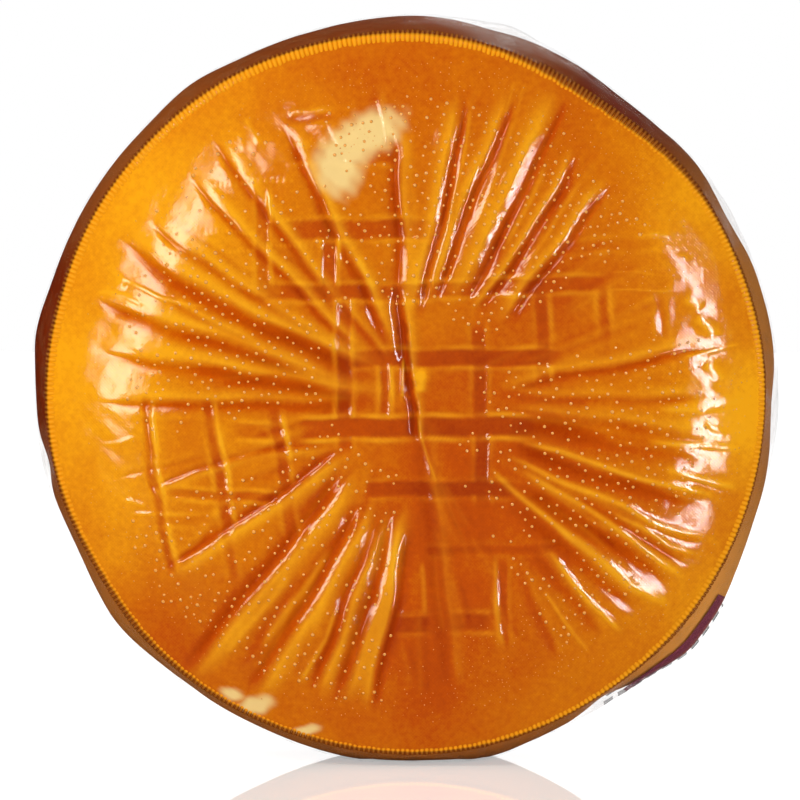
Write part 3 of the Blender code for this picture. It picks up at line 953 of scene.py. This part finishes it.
    def pips(self) -> Piece:
        """Pips about 1.2 mm wide, where the curd rose into the press lid's holes."""
        sectors = (
            (20, 36, 34, 118, 0.9), (107, 28, 30, 122, 0.8), (135, 14, 40, 118, 0.6),
            (213, 30, 30, 128, 0.72), (284, 22, 34, 112, 0.85), (345, 25, 40, 95, 0.35),
            (318, 12, 60, 122, 0.45),
        )
        at = self.pip_places(3.9, 0.55, sectors, SEED + 2)
        size = np.random.default_rng(SEED + 3).uniform(0.55, 0.85, len(at))
        return self.dome_field("rind_pips", at, size, 8, 2)

    def grains(self) -> Piece:
        """Fine grains under a millimetre wide, near the rim."""
        sectors = (
            (15, 42, 96, 134, 0.5), (75, 20, 96, 132, 0.3), (112, 24, 108, 138, 0.7),
            (150, 24, 96, 134, 0.45), (190, 20, 110, 134, 0.35), (235, 18, 112, 136, 0.4),
            (300, 40, 104, 130, 0.25),
        )
        at = self.pip_places(2.2, 0.6, sectors, SEED + 4)
        size = np.random.default_rng(SEED + 5).uniform(0.26, 0.46, len(at))
        return self.dome_field("rind_grains", at, size, 6, 1)


# ---- the film -----------------------------------------------------------------------------------


@dataclass
class Film:
    """The clear film over the rim, shrunk tight, with puckers where it bridges hollows."""

    outline: Outline
    spokes: int = 720
    rings: int = 28
    pucker: float = 0.2

    def puckers(self, bearing: np.ndarray, across: float) -> np.ndarray:
        """How far the film stands in from its smooth form: folds that run over the rim, strongest
        by the hollows, and fading to nothing at its edges and where it lies on the floor."""
        loose = 0.35 + 0.8 * np.clip(self.outline.lobes(bearing, self.outline.hollows), 0.0, 1.5)
        lean = bearing + 2.5 * across
        folds = np.abs(np.sin(np.radians(lean * 21.0) + 2.0 * np.sin(np.radians(lean * 5.0))))
        free = smooth(20.0, 32.0, np.abs(turn_between(bearing, 180.0)))
        return self.pucker * loose * (1.0 - folds) * (1.0 - across**4) * free

    def wrap(self) -> Piece:
        """The film as one thin closed hoop: an outer wall, an inner wall, and two joined edges."""
        bearing = bearings(self.spokes)
        places = np.sin(np.linspace(-0.5, 0.5, self.rings) * np.pi)
        rows, girth = [], []
        for inward, order in ((0.0, places), (0.12, places[::-1])):
            for across in order:
                radius = self.outline.film(bearing, across, inward) - self.puckers(bearing, float(across))
                rows.append(ring(bearing, radius, across * self.outline.edge_half))
                girth.append(np.full(len(bearing), across))
        points, triangles = skin(rows, loop=True)
        around = np.tile(bearing, len(rows))
        loose = self.outline.lobes(around, self.outline.hollows) / 2.5
        return Piece(
            "clear_film", points, triangles, "shrink_film",
            {"bearing": around, "across": np.concatenate(girth), "loose": loose},
        )


# ---- finishes -----------------------------------------------------------------------------------


Socket = bpy.types.NodeSocket


def node(
    tree: bpy.types.NodeTree, kind: str, settings: dict | None = None, links: dict | None = None
) -> bpy.types.Node:
    """Adds a node with its settings and links.

    Args:
        tree: The material's node tree.
        kind: The node's type name.
        settings: Values by property name, or by input name or number.
        links: Output sockets by input name or number.

    Returns:
        The new node.
    """
    made = tree.nodes.new(kind)
    for key, value in (settings or {}).items():
        if isinstance(key, str) and hasattr(made, key):
            setattr(made, key, value)
        else:
            made.inputs[key].default_value = value
    for key, socket in (links or {}).items():
        tree.links.new(socket, made.inputs[key])
    return made


class Tree:
    """A material in the making: its node tree, and a short method for each node the finishes use.

    Wherever a method takes a value, that is a socket or a number; a colour is a socket or hex.
    """

    def __init__(self, name: str) -> None:
        """Starts a material of that name with an empty tree."""
        self.material = bpy.data.materials.new(name)
        self.material.use_nodes = True
        self.graph = self.material.node_tree
        self.graph.nodes.clear()

    def mark(self, name: str) -> Socket:
        """One of the mesh's own attributes."""
        return node(self.graph, "ShaderNodeAttribute", {"attribute_name": name}).outputs["Fac"]

    def where(self) -> Socket:
        """The place on the object, in metres."""
        return node(self.graph, "ShaderNodeTexCoord").outputs["Object"]

    def math(self, operation: str, *terms: Socket | float) -> Socket:
        """One sum on up to three values."""
        settings: dict = {"operation": operation}
        links: dict = {}
        for number, term in enumerate(terms):
            (settings if isinstance(term, (int, float)) else links)[number] = term
        return node(self.graph, "ShaderNodeMath", settings, links).outputs[0]

    def noise(self, scale: float, detail: float, roughness: float, at: Socket) -> Socket:
        """Smooth noise, `scale` patches per unit of the place it is read at."""
        settings = {"Scale": scale, "Detail": detail, "Roughness": roughness}
        return node(self.graph, "ShaderNodeTexNoise", settings, {"Vector": at}).outputs["Fac"]

    def ranged(self, value: Socket, old: tuple[float, float], new: tuple[float, float], kind: str) -> Socket:
        """A value carried from one range to another, held at its ends."""
        ends = {"From Min": old[0], "From Max": old[1], "To Min": new[0], "To Max": new[1]}
        return node(
            self.graph, "ShaderNodeMapRange", {"interpolation_type": kind, **ends}, {"Value": value}
        ).outputs[0]

    def ramp(self, value: Socket, *stops: tuple[float, str]) -> Socket:
        """A colour ramp: stops are (place, hex colour) pairs."""
        made = node(self.graph, "ShaderNodeValToRGB", links={"Fac": value})
        elements = made.color_ramp.elements
        while len(elements) < len(stops):
            elements.new(0.5)
        for element, (place, colour) in zip(elements, stops):
            element.position = place
            element.color = linear(colour)
        return made.outputs["Color"]

    def mixed(self, share: Socket, first: Socket | str, second: Socket | str) -> Socket:
        """A mix of two colours: the first at no share, the second at a full one."""
        mix = node(self.graph, "ShaderNodeMix", {"data_type": "RGBA"}, {0: share})
        for number, colour in ((6, first), (7, second)):
            if isinstance(colour, str):
                mix.inputs[number].default_value = linear(colour)
            else:
                self.graph.links.new(colour, mix.inputs[number])
        return mix.outputs[2]

    def bump(self, height: Socket, strength: float, reach: float, under: Socket | None = None) -> Socket:
        """Bump of `reach` mm from black to white, on top of another bump if there is one."""
        links = {"Height": height} | ({"Normal": under} if under else {})
        settings = {"Strength": strength, "Distance": reach * MM}
        return node(self.graph, "ShaderNodeBump", settings, links).outputs[0]

    def finished(self, settings: dict, links: dict) -> bpy.types.Material:
        """Ends the tree with the main shader and gives the material."""
        shader = node(self.graph, "ShaderNodeBsdfPrincipled", settings, links)
        return self.surfaced(shader.outputs[0])

    def surfaced(self, shader: Socket) -> bpy.types.Material:
        """Ends the tree with any shader and gives the material."""
        node(self.graph, "ShaderNodeOutputMaterial", links={"Surface": shader})
        return self.material


class Weave(Enum):
    """The cloth whose threads show on the rind, by thread spacing in millimetres."""

    CHEESECLOTH = 1.3


@dataclass(frozen=True)
class SmokedRind:
    """Pressed, brined and smoked rind, wet-looking under skin-tight film.

    To the eye: amber where it stands proud and orange-brown in hollows, partly its own colour and
    partly painted highlight and shade, a fine grain of cloth, and crisp white glints on the folds.
    The lip colour on crests is partly painted highlight, and the rim colours darken the side partly
    with painted shade.

    Attributes:
        grain: Bumps of the curd under the film: size and height in millimetres, strength. The
            finest is drawn coarser than real curd grain, which is about 0.5 mm.
    """

    name: str = "smoked rind, pressed in cheesecloth"
    amber: str = "#FDAE0E"
    orange: str = "#DE7E04"
    brown: str = "#C55202"
    deep: str = "#A43804"
    lip: str = "#F8B020"
    cream: str = "#FADF98"
    rim_light: str = "#DC9648"
    rim_dark: str = "#702406"
    weave: Weave = Weave.CHEESECLOTH
    grain: tuple = ((0.9, 0.024, 0.8), (2.4, 0.055, 0.8), (7.0, 0.08, 0.7))

    def make(self) -> bpy.types.Material:
        """Builds the node tree.

        Tone is the sum of the relief's height and own tones (deep in creases and rack marks, light on
        crests), partly painted shade and highlight, how dark the rind is drawn, partly staining and
        partly painted shade, the cloth's threads, and two noises; a ramp turns it to colour. The
        cloth's threads, a fine grain and a broad unevenness are bump. The film that lies skin-tight on
        the faces is the clear coat, which the rim and the bottoms of creases go without.
        """
        tree = Tree(self.name)
        where = tree.where()
        marks = {name: tree.mark(name) for name in (*TONES, "rim")}
        spot = node(tree.graph, "ShaderNodeSeparateXYZ", links={0: where})
        per_thread = 2.0 * np.pi / (self.weave.value * MM)
        threads = (tree.math("SINE", tree.math("MULTIPLY", spot.outputs[axis], per_thread)) for axis in "XZ")
        cloth = tree.math("MULTIPLY", *threads)
        # lower places drawn darker and higher ones lighter: painted shade and highlight from the height
        tone = tree.math("MULTIPLY_ADD", marks["height"], -0.06, 0.02)
        # creases and rack channels darker and crests lighter, partly painted shade and highlight; the
        # darkness attribute adds staining and painted shade
        for value, factor in (
            (marks["crease"], 0.34), (marks["crest"], -0.22), (marks["band"], 0.2), (marks["smoke"], 1.25),
            (tree.noise(1 / (30 * MM), 4.0, 0.5, where), 0.36),
            (tree.noise(1 / (2.4 * MM), 5.0, 0.75, where), 0.42), (cloth, 0.02),
        ):
            tone = tree.math("MULTIPLY_ADD", value, factor, tone)
        colour = tree.ramp(
            tone, (0.08, self.amber), (0.36, self.orange), (0.64, self.brown), (0.95, self.deep)
        )
        # the side's colour, light to dark with the darkness attribute: partly smoking, partly painted shade
        rim = tree.ramp(marks["smoke"], (0.1, self.rim_light), (0.9, self.rim_dark))
        # the rim colour on the side, the lip colour on crests (partly painted highlight), and the cream on
        # pale spots
        for mark, tint, most in (("rim", rim, 1.0), ("crest", self.lip, 0.5), ("pale", self.cream, 0.92)):
            colour = tree.mixed(tree.math("MULTIPLY", marks[mark], most), colour, tint)
        bump = tree.bump(cloth, 0.5, 0.012)
        for size, reach, strength in self.grain:
            bump = tree.bump(tree.noise(1 / (size * MM), 2.0, 0.6, where), strength, reach, bump)
        bare = tree.math("MAXIMUM", marks["rim"], marks["crease"])
        film = tree.ranged(bare, (0.25, 0.8), (0.9, 0.03), "LINEAR")
        return tree.finished(
            {
                "Roughness": 0.55, "IOR": 1.45, "Specular IOR Level": 0.02,
                "Coat Roughness": 0.06, "Coat IOR": 1.68,
            },
            {"Base Color": colour, "Normal": bump, "Coat Weight": film, "Coat Normal": bump},
        )


@dataclass(frozen=True)
class PipHighlightAndShade:
    """Small crests of rind. To the eye: pale amber tops that fade to brown feet, painted highlight on the
    tops and painted shade at the feet.
    """

    name: str = "rubbed rind, pressed in the lid's holes"
    top: str = "#F2AC50"
    foot: str = "#A8500A"

    def make(self) -> bpy.types.Material:
        """Builds the node tree: the crest attribute mixes foot and top colour, a noise varies it."""
        tree = Tree(self.name)
        patch = tree.noise(1 / (8 * MM), 2.0, 0.5, tree.where())
        tone = tree.math("MULTIPLY_ADD", patch, 0.6, tree.mark("crest"))
        return tree.finished(
            {
                "Roughness": 0.4, "IOR": 1.45, "Specular IOR Level": 0.2,
                "Coat Weight": 0.9, "Coat Roughness": 0.08, "Coat IOR": 1.5,
            },
            {"Base Color": tree.ramp(tone, (0.35, self.foot), (1.15, self.top))},
        )


@dataclass(frozen=True)
class RibbedEdge:
    """Rind squeezed through the mould's net. To the eye: a milled edge, amber by the face and
    brown by the side, partly from smoking and partly painted shade, with lighter tops and darker
    gaps as painted highlight and shade."""

    name: str = "ribbed rind, pressed in the mould's net"
    face_top: str = "#F4A622"
    face_gap: str = "#E6920E"
    side_top: str = "#A05E22"
    side_gap: str = "#6E2E0A"

    def make(self) -> bpy.types.Material:
        """Builds the node tree: one mix from gap to crest by the face, one by the side, and a third
        that goes from the first to the second across the edge."""
        tree = Tree(self.name)
        crest = tree.mark("crest")
        # lighter tops and darker gaps: painted highlight and shade
        face, side = (
            tree.ramp(crest, (0.15, gap), (0.8, top))
            for gap, top in ((self.face_gap, self.face_top), (self.side_gap, self.side_top))
        )
        turned = tree.ranged(tree.mark("outer"), (0.4, 0.65), (0.0, 1.0), "SMOOTHSTEP")
        return tree.finished(
            {"Roughness": 0.55, "Specular IOR Level": 0.0}, {"Base Color": tree.mixed(turned, face, side)}
        )


@dataclass(frozen=True)
class ClearFilm:
    """Heat-shrunk polyolefin film with a generic flexo print.

    To the eye: a thin glossy skin, tan and streaky where it lies tight, which is painted
    reflection, milky where it bridges hollows, with plain blocks in two inks that stand for the
    print.
    """

    name: str = "clear polyolefin shrink film, flexo printed"
    tight: str = "#C08A5E"
    milk: str = "#F2EEEE"
    ink: str = "#8A4058"
    second_ink: str = "#3A4C86"

    def make(self) -> bpy.types.Material:
        """Builds the node tree.

        The pane is nearly clear. A plain stripe and a thin line in one ink, and a row of blocks in
        the other, run between two bearings. Noise drawn out across the rim makes the streaks.
        """
        tree = Tree(self.name)
        math = tree.math
        bearing, across, loose = (tree.mark(name) for name in ("bearing", "across", "loose"))

        def within(value: Socket, centre: float, half: float) -> Socket:
            """1 where a value lies within `half` of the centre."""
            return math("LESS_THAN", math("ABSOLUTE", math("SUBTRACT", value, centre)), half)

        drawn = {0: math("MULTIPLY", bearing, 0.35), 1: math("MULTIPLY", across, 5.0)}
        lie = node(tree.graph, "ShaderNodeCombineXYZ", links=drawn).outputs[0]
        # tan streaks where the film lies tight: painted reflection
        streaks = tree.ranged(tree.noise(1.0, 4.0, 0.6, lie), (0.45, 0.75), (0.0, 0.1), "LINEAR")
        stripe = math("MULTIPLY", within(across, -0.62, 0.14), within(bearing, 133.0, 10.5))
        cell = math("FRACT", math("DIVIDE", bearing, 2.6))
        blocks = math("MULTIPLY", within(cell, 0.5, 0.32), within(across, -0.1, 0.22))
        blocks = math("MULTIPLY", blocks, within(bearing, 136.0, 12.0))
        thin = math("MULTIPLY", within(across, 0.35, 0.03), within(bearing, 134.0, 13.0))
        inked = math("MAXIMUM", math("MAXIMUM", stripe, blocks), thin)
        inks = tree.mixed(blocks, self.ink, self.second_ink)
        colour = tree.mixed(inked, tree.mixed(loose, self.tight, self.milk), inks)
        body = math("ADD", streaks, math("MULTIPLY", loose, 0.06))
        opaque = math("MINIMUM", math("ADD", body, math("MULTIPLY", inked, 0.6)), 0.85)
        return tree.finished(
            {"Roughness": 0.12, "IOR": 1.5, "Specular IOR Level": 0.25},
            {"Base Color": colour, "Alpha": opaque},
        )


# ---- the studio ---------------------------------------------------------------------------------


@dataclass(frozen=True)
class SoftBox:
    """A rectangular studio light that looks at the wheel.

    Attributes:
        azimuth, elevation: Its direction: azimuth 0 is in front of the wheel, above 0 to its right.
        distance: How far it hangs from the wheel's middle, in metres.
        width, height: Its size in metres.
        watts, colour: Its light.
        roll: Degrees that its top leans to the left.
    """

    name: str
    azimuth: float
    elevation: float
    distance: float
    width: float
    height: float
    watts: float
    colour: str = "#FFFFFF"
    roll: float = 0.0

    def hang(self, target: np.ndarray) -> None:
        """Hangs the light, aimed at the target."""
        lamp = bpy.data.lights.new(self.name, "AREA")
        lamp.shape = "RECTANGLE"
        lamp.size, lamp.size_y = self.width, self.height
        lamp.energy = self.watts
        lamp.color = linear(self.colour)[:3]
        aim(added(self.name, lamp), target, self.azimuth, self.elevation, self.distance, self.roll)


def added(name: str, data: bpy.types.ID) -> bpy.types.Object:
    """A new object with its data, in the scene."""
    thing = bpy.data.objects.new(name, data)
    bpy.context.scene.collection.objects.link(thing)
    return thing


def aim(
    thing: bpy.types.Object, target: np.ndarray, azimuth: float, elevation: float, distance: float,
    roll: float = 0.0,
) -> None:
    """Puts an object at a distance from the target in a direction, looking at the target."""
    a, e = np.radians(azimuth), np.radians(elevation)
    back = Vector((np.sin(a) * np.cos(e), -np.cos(a) * np.cos(e), np.sin(e)))
    thing.location = Vector(target) + back * distance
    turn = (-back).to_track_quat("-Z", "Y") @ Quaternion((0.0, 0.0, 1.0), np.radians(roll))
    thing.rotation_euler = turn.to_euler()


@dataclass
class Studio:
    """Pale floor, white surround, soft lights and the camera, in metres and degrees.

    Attributes:
        target: What lights and camera look at.
        face_ahead: How far the wheel's face stands nearer the camera than the target.
        frame_width: Width that the picture spans at the face.
        floor_half: Half the floor's side.
        floor_mirror: Share of the floor's light that is mirrored.
        floor_glow: Light that the floor adds where the camera sees it.
        surround_light: The surround's strength as a light; to the camera it is 1.
        card_away, card_half, card_top: The backdrop card's distance, half-width and height.
    """

    target: np.ndarray
    camera_azimuth: float = 1.1
    camera_elevation: float = 4.5
    camera_distance: float = 1.6
    face_ahead: float = 0.036
    frame_width: float = 0.32
    floor_half: float = 6.0
    floor_mirror: float = 0.52
    floor_glow: float = 0.42
    surround_light: float = 0.05
    card_away: float = 2.5
    card_half: float = 0.7
    card_top: float = 0.62

    @staticmethod
    def sheet(name: str, corners: list[tuple], finish: bpy.types.Material) -> bpy.types.Object:
        """A flat four-cornered sheet that belongs to the stage."""
        mesh = bpy.data.meshes.new(name)
        mesh.from_pydata(corners, [], [(0, 1, 2, 3)])
        mesh.materials.append(finish)
        thing = added(name, mesh)
        return thing

    def floor(self) -> None:
        """A pale sheet on a table: half matt, half mirror. The lamps shine through it, and the wheel
        doesn't mirror it."""
        tree = Tree("white acrylic sheet, polished")
        matt = node(tree.graph, "ShaderNodeBsdfDiffuse", {"Color": linear("#F4F4F4")}).outputs[0]
        shine = {"Color": linear("#FFFFFF"), "Roughness": 0.03}
        shine = node(tree.graph, "ShaderNodeBsdfGlossy", shine).outputs[0]
        mix = node(tree.graph, "ShaderNodeMixShader", {0: self.floor_mirror}, {1: matt, 2: shine}).outputs[0]
        seen = node(tree.graph, "ShaderNodeLightPath").outputs["Is Camera Ray"]
        lift = {"Strength": tree.math("MULTIPLY", seen, self.floor_glow)}
        glow = node(tree.graph, "ShaderNodeEmission", {"Color": linear("#FFFFFF")}, lift).outputs[0]
        lit = node(tree.graph, "ShaderNodeAddShader", links={0: mix, 1: glow}).outputs[0]
        half = self.floor_half
        corners = [(-half, -half, 0.0), (half, -half, 0.0), (half, half, 0.0), (-half, half, 0.0)]
        thing = self.sheet("studio_floor", corners, tree.surfaced(lit))
        thing.visible_shadow = False
        thing.visible_glossy = False

    def backdrop(self) -> None:
        """A glowing white card far behind the wheel, which the floor mirrors."""
        tree = Tree("white backdrop card, lit through")
        glow = node(tree.graph, "ShaderNodeEmission", {"Color": linear("#FFFFFF"), "Strength": 1.0})
        half, away, top = self.card_half, self.card_away, self.card_top
        corners = [(-half, away, 0.0), (half, away, 0.0), (half, away, top), (-half, away, top)]
        self.sheet("studio_backdrop", corners, tree.surfaced(glow.outputs[0]))

    def surround(self) -> None:
        """A surround that is white to look at and dim as a light, as in a dark studio with a lit wall."""
        world = bpy.data.worlds.new("studio_surround")
        world.use_nodes = True
        seen = node(world.node_tree, "ShaderNodeLightPath").outputs["Is Camera Ray"]
        ends = {"To Min": self.surround_light, "To Max": 1.0}
        strength = node(world.node_tree, "ShaderNodeMapRange", ends, {"Value": seen})
        background = world.node_tree.nodes["Background"]
        world.node_tree.links.new(strength.outputs[0], background.inputs["Strength"])
        background.inputs["Color"].default_value = linear("#FFFFFF")
        bpy.context.scene.world = world
        bpy.context.scene.view_settings.view_transform = "Standard"

    def lights(self) -> None:
        """A tall box at the left for the sheen, a narrow one at the right for the crisp glints, one
        that rakes across the folds, two for side and top, and one for the back."""
        for box in (
            SoftBox("key_box_left", -25.0, 8.0, 1.3, 0.2, 0.72, 3.8, "#FFF2E0", -28.0),
            SoftBox("strip_box_right", 32.5, -4.0, 1.3, 0.05, 0.74, 3.3),
            SoftBox("rake_box_left", -50.0, 40.0, 1.3, 0.4, 0.4, 8.6, "#FFF4E2"),
            SoftBox("side_box_right", 78.0, 8.0, 1.3, 0.5, 0.5, 4.4),
            SoftBox("top_box", 10.0, 78.0, 1.3, 0.5, 0.5, 2.4),
            SoftBox("back_box_top", 165.0, 38.0, 1.5, 0.6, 0.6, 6.0),
        ):
            box.hang(self.target)

    def camera(self) -> None:
        """A long lens from a little above and a little to the right."""
        data = bpy.data.cameras.new("studio_camera")
        data.lens = data.sensor_width * (self.camera_distance - self.face_ahead) / self.frame_width
        data.clip_end = 50.0
        thing = added("studio_camera", data)
        aim(thing, self.target, self.camera_azimuth, self.camera_elevation, self.camera_distance)
        bpy.context.scene.camera = thing

    def build(self) -> None:
        """Sets it all up."""
        self.floor()
        self.backdrop()
        self.surround()
        self.lights()
        self.camera()


def main() -> None:
    """Builds the wheel, its film and the studio, and reports each piece."""
    logging.basicConfig(level=logging.INFO, format="%(name)s: %(message)s")
    outline = Outline()
    place = Place(outline)
    wheel = Wheel(outline)
    rind = SmokedRind().make()
    crest = PipHighlightAndShade().make()
    rib = RibbedEdge().make()
    wheel.body_rind().place(place, rind, stands_for="cheese_wheel")
    wheel.front_rind().place(place, rind)
    wheel.edge_ribs(-1, "edge_ribs_front").place(place, rib)
    wheel.edge_ribs(1, "edge_ribs_back").place(place, rib)
    wheel.pips().place(place, crest)
    wheel.grains().place(place, crest)
    Film(outline).wrap().place(place, ClearFilm().make(), stands_for="shrink_film")
    Studio(target=np.array([-0.0022, 0.0, 0.147])).build()


if __name__ == "__main__":
    main()
